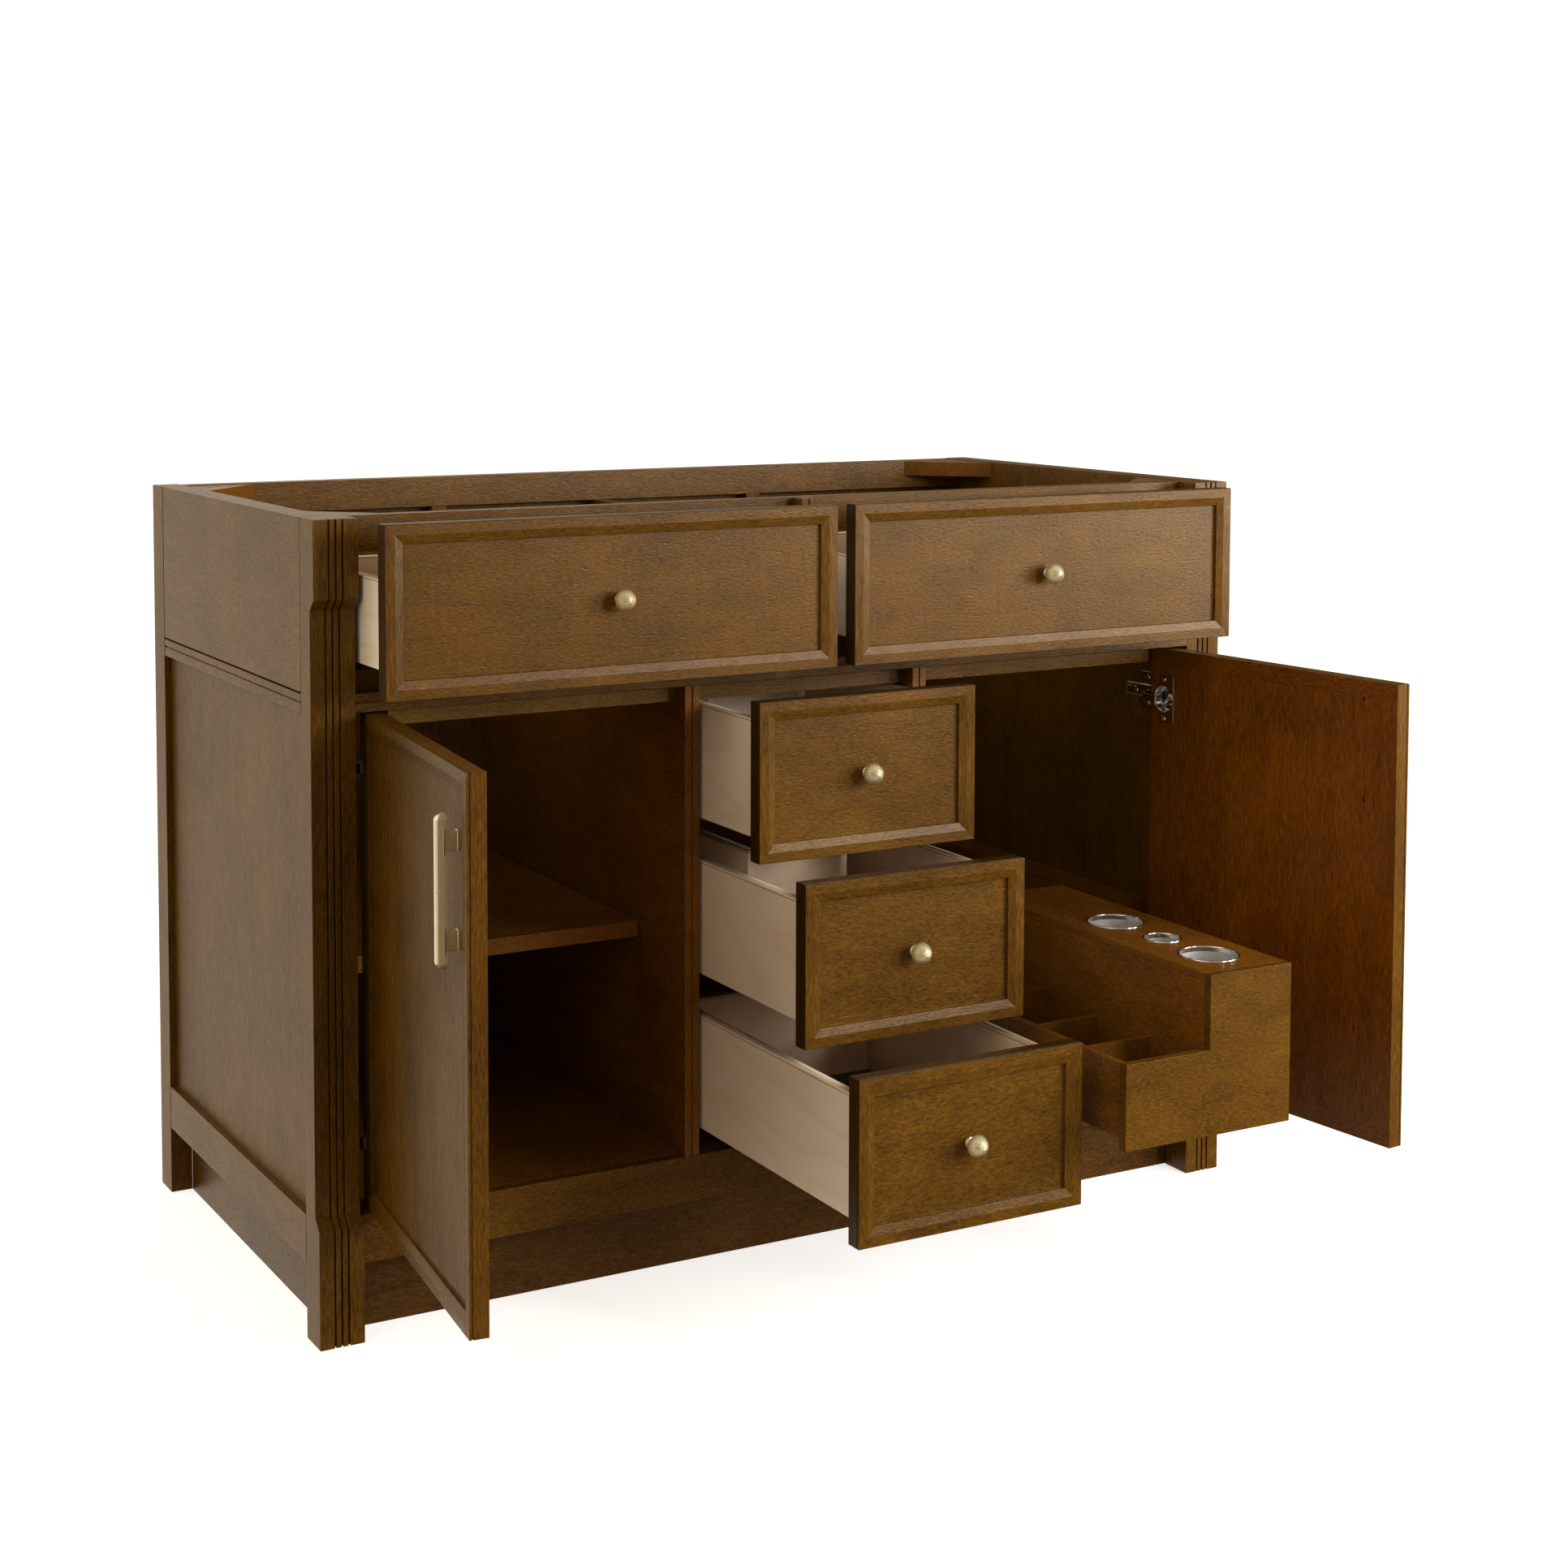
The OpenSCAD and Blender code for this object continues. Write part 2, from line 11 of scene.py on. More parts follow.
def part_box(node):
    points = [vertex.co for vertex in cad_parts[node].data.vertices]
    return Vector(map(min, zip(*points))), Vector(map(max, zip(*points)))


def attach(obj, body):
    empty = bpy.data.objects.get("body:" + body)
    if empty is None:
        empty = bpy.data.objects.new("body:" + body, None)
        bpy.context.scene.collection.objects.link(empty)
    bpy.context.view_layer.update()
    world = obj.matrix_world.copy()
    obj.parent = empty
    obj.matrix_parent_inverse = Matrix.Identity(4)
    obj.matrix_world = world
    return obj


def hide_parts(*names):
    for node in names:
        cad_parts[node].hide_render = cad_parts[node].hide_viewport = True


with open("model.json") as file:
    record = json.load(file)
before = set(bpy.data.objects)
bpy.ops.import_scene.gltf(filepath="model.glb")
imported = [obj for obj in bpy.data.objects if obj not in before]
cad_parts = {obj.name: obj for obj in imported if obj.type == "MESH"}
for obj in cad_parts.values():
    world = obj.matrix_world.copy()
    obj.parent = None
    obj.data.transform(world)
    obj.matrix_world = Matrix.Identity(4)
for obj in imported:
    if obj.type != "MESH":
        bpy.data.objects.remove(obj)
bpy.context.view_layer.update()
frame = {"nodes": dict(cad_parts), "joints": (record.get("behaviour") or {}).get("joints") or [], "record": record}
nodes = frame["nodes"]
MM = 0.001
WALL = 12 * MM                  # thickness of a drawer box's walls


# ---- camera, light and floor ----

CAMERA_PLACE = (-1.4907, -2.5211, 1.1103)
CAMERA_YAW = 27.9808
CAMERA_PITCH = 3.7605
LENS = 57.419
SHIFT = (0.06772, -0.20)


def make_camera():
    data = bpy.data.cameras.new("camera")
    data.lens = LENS
    data.shift_x, data.shift_y = SHIFT
    data.clip_start, data.clip_end = 0.05, 60
    camera = bpy.data.objects.new("camera", data)
    camera.location = CAMERA_PLACE
    camera.rotation_euler = (math.radians(90 - CAMERA_PITCH), 0, math.radians(-CAMERA_YAW))
    bpy.context.scene.collection.objects.link(camera)
    bpy.context.scene.camera = camera


def lamp_at(name, kind, place, target, strength, colour, **shape):
    """A lamp at place that points at target. It lights the object and isn't seen itself."""
    data = bpy.data.lights.new(name, kind)
    data.energy = strength
    data.color = colour
    for key, value in shape.items():
        setattr(data, key, value)
    lamp = bpy.data.objects.new(name, data)
    lamp.location = place
    lamp.rotation_euler = (Vector(target) - Vector(place)).to_track_quat("-Z", "Y").to_euler()
    lamp.visible_camera = False
    bpy.context.scene.collection.objects.link(lamp)


def softbox(name, place, target, size, power, colour):
    lamp_at(name, "AREA", place, target, power, colour, shape="RECTANGLE", size=size[0], size_y=size[1])


def make_world(glows, ambient, backdrop):
    """A white backdrop for the eye, and soft light that comes from some sides more than from others.
    A glow is (direction, start, full, colour, strength), where start and full are cosines."""
    world = bpy.data.worlds.new("world")
    bpy.context.scene.world = world
    world.use_nodes = True
    tree = world.node_tree
    tree.nodes.clear()

    def node(kind, inputs=(), **settings):
        made = tree.nodes.new("ShaderNode" + kind)
        for key, value in settings.items():
            setattr(made, key, value)
        for key, value in dict(inputs).items():
            if isinstance(value, bpy.types.NodeSocket):
                tree.links.new(value, made.inputs[key])
            else:
                made.inputs[key].default_value = value
        return made.outputs

    way = node("TexCoord")["Generated"]
    light = node("Background", {"Color": (*ambient[0], 1), "Strength": ambient[1]})[0]
    for direction, start, full, colour, strength in glows:
        towards = Vector(direction).normalized()
        cosine = node("VectorMath", {0: way, 1: towards}, operation="DOT_PRODUCT")["Value"]
        share = node("MapRange", {"Value": cosine, "From Min": start, "From Max": full,
                                  "To Max": strength}, interpolation_type="SMOOTHSTEP")[0]
        glow = node("Background", {"Color": (*colour, 1), "Strength": share})[0]
        light = node("AddShader", {0: light, 1: glow})[0]
    seen = node("Background", {"Color": (1, 1, 1, 1), "Strength": backdrop})[0]
    camera_ray = node("LightPath")["Is Camera Ray"]
    mixed = node("MixShader", {0: camera_ray, 1: light, 2: seen})[0]
    node("OutputWorld", {"Surface": mixed})


def make_floor():
    """A plain pale floor that takes the object's shadow and throws no light back up at it."""
    mesh = bpy.data.meshes.new("floor")
    half = 30
    corners = [(-half, -half), (half, -half), (half, half), (-half, half)]
    mesh.from_pydata([(x, y, -0.0005) for x, y in corners], [], [(0, 1, 2, 3)])
    floor = bpy.data.objects.new("floor", mesh)
    bpy.context.scene.collection.objects.link(floor)
    floor.visible_diffuse = False
    floor.visible_glossy = False
    shader = Shader("floor", roughness=0.9, emission_color=(1, 1, 1, 1), emission_strength=0.75)
    grain = shader.noise(shader.place(), 3, detail=2)
    shader.colour(shader.ramp(grain, [(0.3, (0.66, 0.66, 0.66)), (0.7, (0.70, 0.70, 0.70))]))
    mesh.materials.append(shader.material)


# ---- materials ----

class Shader:
    """One Principled material, with a short call for each kind of node."""

    def __init__(self, name, **constants):
        self.material = bpy.data.materials.new(name)
        self.material.use_nodes = True
        self.tree = self.material.node_tree
        self.bsdf = self.tree.nodes["Principled BSDF"]
        for key, value in constants.items():
            self.bsdf.inputs[key.replace("_", " ").title().replace("Ior", "IOR")].default_value = value

    def node(self, kind, inputs=(), **settings):
        made = self.tree.nodes.new("ShaderNode" + kind)
        for key, value in settings.items():
            setattr(made, key, value)
        for key, value in dict(inputs).items():
            if isinstance(value, bpy.types.NodeSocket):
                self.tree.links.new(value, made.inputs[key])
            else:
                made.inputs[key].default_value = value
        return made

    def place(self):
        return self.node("TexCoord").outputs["Object"]

    def normal(self):
        return self.node("TexCoord").outputs["Normal"]

    def axes(self, vector):
        return self.node("SeparateXYZ", {0: vector}).outputs

    def mapped(self, vector, turn=(0, 0, 0), shift=(0, 0, 0), scale=(1, 1, 1)):
        inputs = {"Vector": vector, "Location": shift, "Rotation": turn, "Scale": scale}
        return self.node("Mapping", inputs).outputs[0]

    def noise(self, vector, scale, detail=4, roughness=0.55, distortion=0.0):
        inputs = {"Vector": vector, "Scale": scale, "Detail": detail, "Roughness": roughness,
                  "Distortion": distortion}
        return self.node("TexNoise", inputs).outputs["Fac"]

    def math(self, operation, a, b=0.0, c=0.0):
        return self.node("Math", {0: a, 1: b, 2: c}, operation=operation).outputs[0]

    def ranged(self, value, low, high, to_low=0.0, to_high=1.0):
        inputs = {"Value": value, "From Min": low, "From Max": high, "To Min": to_low, "To Max": to_high}
        return self.node("MapRange", inputs).outputs[0]

    def ramp(self, value, stops):
        made = self.node("ValToRGB", {0: value})
        elements = made.color_ramp.elements
        while len(elements) < len(stops):
            elements.new(0.5)
        for element, (position, colour) in zip(elements, stops):
            element.position = position
            element.color = (*colour, 1)
        return made.outputs[0]

    def mix(self, share, a, b, blend="MIX"):
        made = self.node("Mix", {"Factor": share, 6: a, 7: b}, data_type="RGBA", blend_type=blend)
        return made.outputs[2]

    def mix_vector(self, share, a, b):
        return self.node("Mix", {"Factor": share, 4: a, 5: b}, data_type="VECTOR").outputs[1]

    def colour(self, socket):
        self.tree.links.new(socket, self.bsdf.inputs["Base Color"])

    def roughness(self, socket):
        self.tree.links.new(socket, self.bsdf.inputs["Roughness"])

    def bump(self, height, strength, distance):
        inputs = {"Height": height, "Strength": strength, "Distance": distance}
        self.tree.links.new(self.node("Bump", inputs).outputs[0], self.bsdf.inputs["Normal"])


def grain_vector(shader, place, grain, seed):
    """Object coordinates squeezed along the grain, and moved on so that no two boards match. Upright
    boards show longer fibres."""
    squeeze = 0.15 if grain == "Z" else 0.30
    scale = [squeeze if axis == grain else 1 for axis in "XYZ"]
    shift = (0.37 * seed, 0.61 * seed, 0.23 * seed)
    return shader.mapped(place, scale=scale, shift=shift)


# Stained wood from its darkest to its lightest fibre. The inner tones are that stain painted lighter and more red,
# as painted bounce light inside the cabinet.
WALNUT = [(0.058, 0.025, 0.002), (0.118, 0.057, 0.005), (0.164, 0.082, 0.008), (0.240, 0.128, 0.015)]
INNER_BOUNCE_LIT = [(0.096, 0.036, 0.003), (0.172, 0.073, 0.007), (0.228, 0.102, 0.011), (0.320, 0.152, 0.022)]
DARK = [(0.043, 0.019, 0.004), (0.092, 0.043, 0.009), (0.132, 0.065, 0.015), (0.190, 0.100, 0.028)]


def wood_surface(shader, place, stretched, tones, seed):
    """Short embossed fibres, faint contour lines and an uneven stain, in colour, gloss and relief."""
    fibre = shader.noise(stretched, 520, detail=4, roughness=0.7)
    ticks = shader.noise(stretched, 190, detail=2, roughness=0.5)
    mottle = shader.noise(stretched, 40, detail=4, roughness=0.6, distortion=0.4)
    figure = shader.noise(stretched, 7, detail=2, distortion=0.5)
    stain = shader.noise(shader.mapped(place, shift=(seed, seed, seed)), 6.0, detail=2, distortion=0.5)
    lines = shader.math("PINGPONG", shader.math("MULTIPLY", figure, 13.0), 1.0)
    lines = shader.math("POWER", lines, 14.0)
    tick = shader.ranged(ticks, 0.32, 0.24, 0.0, 1.0)
    value = shader.math("MULTIPLY", fibre, 1.00)
    value = shader.math("MULTIPLY_ADD", mottle, 0.26, value)
    value = shader.math("MULTIPLY_ADD", stain, 0.34, value)
    value = shader.math("MULTIPLY_ADD", lines, -0.060, value)
    value = shader.math("MULTIPLY_ADD", tick, -0.06, value)
    value = shader.math("SUBTRACT", value, 0.300)
    shader.colour(shader.ramp(value, list(zip((0.26, 0.43, 0.56, 0.74), tones))))
    shader.roughness(shader.ranged(fibre, 0.3, 0.7, 0.34, 0.25))
    relief = shader.math("MULTIPLY_ADD", tick, -0.4, fibre)
    shader.bump(relief, 0.70, 0.00055)


def wood(name, grain, seed, tones=WALNUT):
    """Stained wood whose grain runs along one axis."""
    shader = Shader(name, specular_ior_level=0.30, roughness=0.30)
    place = shader.place()
    wood_surface(shader, place, grain_vector(shader, place, grain, seed), tones, seed)
    return shader.material


def framed_wood(name, middle, turn, size, panel_grain, seed, edge_stain, knots=()):
    """Wood for a framed front: a panel, and four mitred frame members that each run along their side.
    middle is the front's centre, turn the angle from its face to the row's -Y, size (width, height)."""
    member = 20.7 * MM
    back_y = 9.5 * MM
    shader = Shader(name, specular_ior_level=0.30, roughness=0.30)
    spin = Matrix.Rotation(-turn, 3, "Z")
    shift = -(spin @ Vector(middle))
    place = shader.mapped(shader.place(), turn=(0, 0, -turn), shift=shift)
    x, y, z = shader.axes(place)
    from_side = shader.math("SUBTRACT", size[0] / 2, shader.math("ABSOLUTE", x))
    from_end = shader.math("SUBTRACT", size[1] / 2, shader.math("ABSOLUTE", z))
    nearest = shader.math("MINIMUM", from_side, from_end)
    is_frame = shader.math("LESS_THAN", nearest, member)
    is_upright = shader.math("LESS_THAN", from_side, from_end)
    upright = grain_vector(shader, place, "Z", seed + 3)
    level = grain_vector(shader, place, "X", seed + 5)
    members = shader.mix_vector(is_upright, level, upright)
    panel = grain_vector(shader, place, panel_grain, seed)
    stretched = shader.mix_vector(is_frame, panel, members)
    wood_surface(shader, place, stretched, WALNUT, seed)
    colour = shader.bsdf.inputs["Base Color"].links[0].from_socket
    # the slab's narrow edges take up more stain than its faces
    edge = shader.ranged(nearest, 0.00035, 0.0008, edge_stain, 0.0)
    colour = shader.mix(edge, colour, (0.020, 0.008, 0.001, 1))
    # the back is painted a little more red, as painted bounce light from the warm wood inside the cabinet
    behind = shader.math("GREATER_THAN", y, back_y)
    bounce_reddened = shader.mix(1.0, colour, (1.38, 0.98, 0.45, 1), blend="MULTIPLY")
    colour = shader.mix(behind, colour, bounce_reddened)
    for across, height in knots:
        centre = shader.mapped(place, shift=(-across, 0, -height), scale=(1, 0, 0.8))
        distance = shader.node("VectorMath", {0: centre}, operation="LENGTH").outputs["Value"]
        ragged = shader.math("MULTIPLY_ADD", shader.noise(place, 420), 0.003, distance)
        mark = shader.ranged(ragged, 0.0028, 0.0046, 0.85, 0.0)
        colour = shader.mix(mark, colour, (0.012, 0.005, 0.002, 1))
    shader.colour(colour)
    return shader.material


def birch(name, grain, seed, low, high):
    """Pale lacquered plywood with a soft figure, for a drawer box between two corners."""
    shader = Shader(name, specular_ior_level=0.4, roughness=0.42)
    place = shader.place()
    shift = (0.7 * seed, 0.4 * seed, 0.9 * seed)
    wide = shader.mapped(place, scale=[0.3 if a == grain else 1.0 for a in "XYZ"], shift=shift)
    fine = shader.mapped(place, scale=[0.05 if a == grain else 1.0 for a in "XYZ"], shift=shift)
    contour = shader.noise(wide, 7, detail=2, distortion=0.4)
    rings = shader.math("MULTIPLY", contour, 19.0)
    rings = shader.math("PINGPONG", rings, 1.0)
    rings = shader.math("POWER", rings, 2.2)
    fibre = shader.noise(fine, 420, detail=3)
    value = shader.math("MULTIPLY_ADD", rings, 0.45, shader.math("MULTIPLY", fibre, 0.55))
    tones = [(0.15, (0.95, 0.92, 0.86)), (0.5, (0.94, 0.89, 0.82)), (0.85, (0.90, 0.81, 0.71))]
    colour = shader.ramp(value, tones)
    across, along, height = shader.axes(place)
    # the insides of the walls are painted a warm tint, as painted bounce light between the walls
    inside = 1.0
    for spot, a, b in ((across, low.x, high.x), (along, low.y, high.y)):
        off = shader.math("ABSOLUTE", shader.math("SUBTRACT", spot, (a + b) / 2))
        near = shader.math("LESS_THAN", off, (b - a) / 2 - WALL + 0.4 * MM)
        inside = shader.math("MULTIPLY", near, inside)
    bounce_warmed = shader.mix(1.0, colour, (1.0, 0.86, 0.74, 1), blend="MULTIPLY")
    colour = shader.mix(inside, colour, bounce_warmed)
    ply = shader.math("ABSOLUTE", shader.math("SUBTRACT", height, high.z - 2.2 * MM))
    line = shader.ranged(ply, 0.0003, 0.0007, 0.75, 0.0)
    colour = shader.mix(line, colour, (0.24, 0.14, 0.06, 1))
    up = shader.math("GREATER_THAN", shader.axes(shader.normal())[2], 0.75)
    edge = shader.ramp(fibre, [(0.3, (0.86, 0.76, 0.60)), (0.7, (0.80, 0.68, 0.51))])
    colour = shader.mix(up, colour, edge)
    shader.colour(colour)
    shader.roughness(shader.ranged(fibre, 0.3, 0.7, 0.48, 0.36))
    shader.bump(fibre, 0.25, 0.0002)
    return shader.material


def metal(name, colour, dull, rough, brushed=None, relief=0.05, metallic=1.0):
    """Plated metal with faint brushing or mottling, and duller patches."""
    shader = Shader(name, metallic=metallic, roughness=rough)
    place = shader.place()
    scale = [0.04 if a == brushed else 1.0 for a in "XYZ"]
    lines = shader.noise(shader.mapped(place, scale=scale), 1500 if brushed else 900, detail=3)
    patches = shader.noise(place, 45, detail=3)
    value = shader.math("MULTIPLY_ADD", lines, 0.5, shader.math("MULTIPLY", patches, 0.5))
    shader.colour(shader.ramp(value, [(0.3, dull), (0.65, colour)]))
    shader.roughness(shader.ranged(value, 0.3, 0.7, rough * 1.25, rough * 0.85))
    shader.bump(lines, relief, 0.0001)
    return shader.material


BRASS = metal("champagne_brass", (0.93, 0.91, 0.78), (0.85, 0.82, 0.67), 0.36, metallic=0.78)
NICKEL = metal("bright_nickel", (0.80, 0.80, 0.82), (0.66, 0.66, 0.68), 0.14)
ZINC = metal("runner_zinc", (0.40, 0.41, 0.43), (0.30, 0.31, 0.33), 0.38, brushed="Y")
CUP = metal("cup_metal", (0.62, 0.63, 0.65), (0.50, 0.51, 0.53), 0.50, brushed="Z", metallic=0.45)
RIM = metal("cup_rim", (0.86, 0.86, 0.88), (0.74, 0.74, 0.76), 0.16)


# ---- meshes ----

def put_in(name, mesh, body, material, replaces=(), place=None, bevel=0.0):
    """Links a mesh as a piece that rides on a body and takes its finish from a slot."""
    if place is not None:
        mesh.transform(place)
    piece = bpy.data.objects.new(name, mesh)
    bpy.context.scene.collection.objects.link(piece)
    mesh.materials.append(material)
    mesh.set_sharp_from_angle(angle=math.radians(32))
    if bevel:
        round_edges(piece, bevel)
    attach(piece, body)
    if replaces:
        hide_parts(*replaces)
    return piece


def crisp_group():
    """A node group that drops a mesh's stored normals and shades each of its faces flat."""
    group = bpy.data.node_groups.new("crisp", "GeometryNodeTree")
    group.interface.new_socket("Geometry", in_out="INPUT", socket_type="NodeSocketGeometry")
    group.interface.new_socket("Geometry", in_out="OUTPUT", socket_type="NodeSocketGeometry")
    start = group.nodes.new("NodeGroupInput")
    drop = group.nodes.new("GeometryNodeRemoveAttribute")
    drop.inputs["Name"].default_value = "custom_normal"
    flat = group.nodes.new("GeometryNodeSetShadeSmooth")
    flat.inputs["Shade Smooth"].default_value = False
    end = group.nodes.new("NodeGroupOutput")
    group.links.new(start.outputs[0], drop.inputs[0])
    group.links.new(drop.outputs[0], flat.inputs[0])
    group.links.new(flat.outputs[0], end.inputs[0])
    return group


CRISP = crisp_group()


def round_edges(piece, width, crisp=False):
    """Softens a board's edges, so that they catch the light as sanded edges do. A crisp piece keeps
    flat facets, so that its shallow bevels stay distinct."""
    weld = piece.modifiers.new("weld", "WELD")
    weld.merge_threshold = 0.00002
    bevel = piece.modifiers.new("bevel", "BEVEL")
    bevel.width = width
    bevel.segments = 2
    bevel.limit_method = "ANGLE"
    bevel.angle_limit = math.radians(28)
    if crisp:
        flat = piece.modifiers.new("crisp", "NODES")
        flat.node_group = CRISP
    else:
        flat = piece.modifiers.new("flat", "WEIGHTED_NORMAL")
        flat.keep_sharp = False


def mesh_of(name, made):
    """A mesh from a bmesh, with its normals outwards and its faces smooth."""
    bmesh.ops.recalc_face_normals(made, faces=made.faces)
    for face in made.faces:
        face.smooth = True
    mesh = bpy.data.meshes.new(name)
    made.to_mesh(mesh)
    made.free()
    return mesh


def add_board(made, low, high):
    """Adds a closed box between two corners."""
    size = [b - a for a, b in zip(low, high)]
    middle = [(a + b) / 2 for a, b in zip(low, high)]
    place = Matrix.Translation(middle) @ Matrix.Diagonal((*size, 1))
    bmesh.ops.create_cube(made, size=1, matrix=place)


def add_rings(made, rings, capped=True):
    """Joins rings of points, each with the same count, into a skin. A capped skin has end faces."""
    rows = [[made.verts.new(point) for point in ring] for ring in rings]
    count = len(rows[0])
    for a, b in zip(rows, rows[1:]):
        for i in range(count):
            j = (i + 1) % count
            made.faces.new((a[i], a[j], b[j], b[i]))
    if capped:
        made.faces.new(rows[0])
        made.faces.new(reversed(rows[-1]))


def add_turned(made, profile, sides, flute=None):
    """Adds a turned solid about Z from (radius, height) points. flute(radius, height, angle) gives
    a point's own radius and height."""
    rings = []
    for radius, height in profile:
        ring = []
        for i in range(sides):
            angle = 2 * math.pi * i / sides
            r, h = flute(radius, height, angle) if flute else (radius, height)
            ring.append((r * math.cos(angle), r * math.sin(angle), h))
        rings.append(ring)
    add_rings(made, rings)


def circle(radius, height, count):
    """Points on a level circle about Z."""
    turns = [2 * math.pi * i / count for i in range(count)]
    return [(radius * math.cos(t), radius * math.sin(t), height) for t in turns]


def arc(centre, radius, start, end, count):
    """Points on an arc, with angles in degrees."""
    turns = [math.radians(start + (end - start) * i / (count - 1)) for i in range(count)]
    return [(centre[0] + radius * math.cos(t), centre[1] + radius * math.sin(t)) for t in turns]


def rounded_outline(low, high, corner):
    """The outline of a rectangle between two corners, with its corners rounded."""
    left, right = low[0] + corner, high[0] - corner
    bottom, top = low[1] + corner, high[1] - corner
    outline = []
    corners = [((left, bottom), 180), ((right, bottom), 270), ((right, top), 0), ((left, top), 90)]
    for centre, start in corners:
        outline += arc(centre, corner, start, start + 90, 6)
    return outline


def add_plate(made, outline, holes, low, high, edge=0.0):
    """Adds a flat plate in XY between two heights, with holes through it and rounded edges."""
    curve = bpy.data.curves.new("plate", "CURVE")
    curve.dimensions = "2D"
    curve.fill_mode = "BOTH"
    curve.extrude = (high - low) / 2 - edge
    curve.bevel_depth = edge
    curve.offset = -edge
    for points in [outline, *holes]:
        spline = curve.splines.new("POLY")
        spline.points.add(len(points) - 1)
        for point, (x, y) in zip(spline.points, points):
            point.co = (x, y, 0, 1)
        spline.use_cyclic_u = True
    holder = bpy.data.objects.new("plate", curve)
    mesh = bpy.data.meshes.new_from_object(holder)
    mesh.transform(Matrix.Translation((0, 0, (low + high) / 2)))
    made.from_mesh(mesh)
    bmesh.ops.remove_doubles(made, verts=made.verts, dist=1e-6)
    bpy.data.meshes.remove(mesh)
    bpy.data.objects.remove(holder)
    bpy.data.curves.remove(curve)


# ---- places ----

ORIGIN_D = 52 * MM              # depth of the origin behind the posts' front face
PANEL_Y = 18 * MM - ORIGIN_D    # sunk panel of a closed front
DOOR_BACK_Y = 32 * MM - ORIGIN_D
STACK_X = 163.3 * MM            # the drawer stack's outer face
BLOCK_X = 559 * MM              # inner face of the posts and of the hinge blocks

joints = {joint["name"]: joint for joint in frame["joints"]}


def leaf_place(side):
    """Turns a closed door's coordinates to the stored pose. side is -1 on the left and 1 on the right."""
    joint = joints["left_door_hinge" if side < 0 else "right_door_hinge"]
    pivot = Vector((joint["pos_m"][0], joint["pos_m"][1], 0))
    angle = -math.radians(joint["range_deg"][0]) * side
    return Matrix.Translation(pivot) @ Matrix.Rotation(angle, 4, "Z") @ Matrix.Translation(-pivot)


def middle_of(low, high):
    return [(a + b) / 2 for a, b in zip(low, high)]


# ---- knobs ----

KNOB_R = 12.3 * MM
KNOB_H = 25 * MM


def knob_mesh():
    """A domed knob pleated like a shell, on a waisted neck and a small rosette. It stands along +Z."""
    pleats = 32
    brim = 13.4 * MM
    dome = KNOB_H - brim
    pleats_from = 11.2 * MM
    neck = [(6.2, 0), (6.75, 0.4), (6.75, 1.5), (6.3, 2.1), (4.9, 2.5), (4.2, 3.2), (3.9, 5), (4.0, 7),
            (4.7, 8.6), (6.6, 9.9), (9.2, 10.7), (11.2, 11.3), (12.0, 12.1)]
    profile = [(r * MM, h * MM) for r, h in neck]
    steps = 15
    for i in range(steps):
        t = math.radians(90 * i / steps)
        profile.append((KNOB_R * math.cos(t), brim + dome * math.sin(t) ** 1.15))
    profile.append((0.25 * MM, KNOB_H))

    def pleat(radius, height, angle):
        if height < pleats_from:
            return radius, height
        wave = abs(math.sin(angle * pleats / 2))
        fade = min(1.0, radius / (0.55 * KNOB_R))
        cut = 1.2 * MM * (1 - wave) ** 1.1 * fade
        return radius - cut * 0.7, height - cut * min(1.0, (height - pleats_from) / (3 * MM))

    made = bmesh.new()
    add_turned(made, profile, pleats * 8, pleat)
    return mesh_of("knob", made)


def make_knob(name, body):
    """The knob's flange lies where the CAD knob's does."""
    low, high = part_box(name)
    centre = (low + high) / 2
    place = Matrix.Translation((centre.x, high.y, centre.z)) @ Matrix.Rotation(math.pi / 2, 4, "X")
    piece = put_in(name + "_pleated", knob_mesh(), body, BRASS, (name,), place)
    piece.data.set_sharp_from_angle(angle=math.radians(60))


# ---- pulls ----

def bar_ring(width, depth, chamfer, height, face):
    """A chamfered section of the pull's bar, at one height. face is how far its ribbed face stands out."""
    half = width / 2
    return [(-half, 0, height), (half, 0, height), (half, chamfer - depth, height),
            (half - chamfer, -depth, height), (half - 1.6 * chamfer, -face, height),
            (1.6 * chamfer - half, -face, height), (chamfer - half, -depth, height),
            (-half, chamfer - depth, height)]


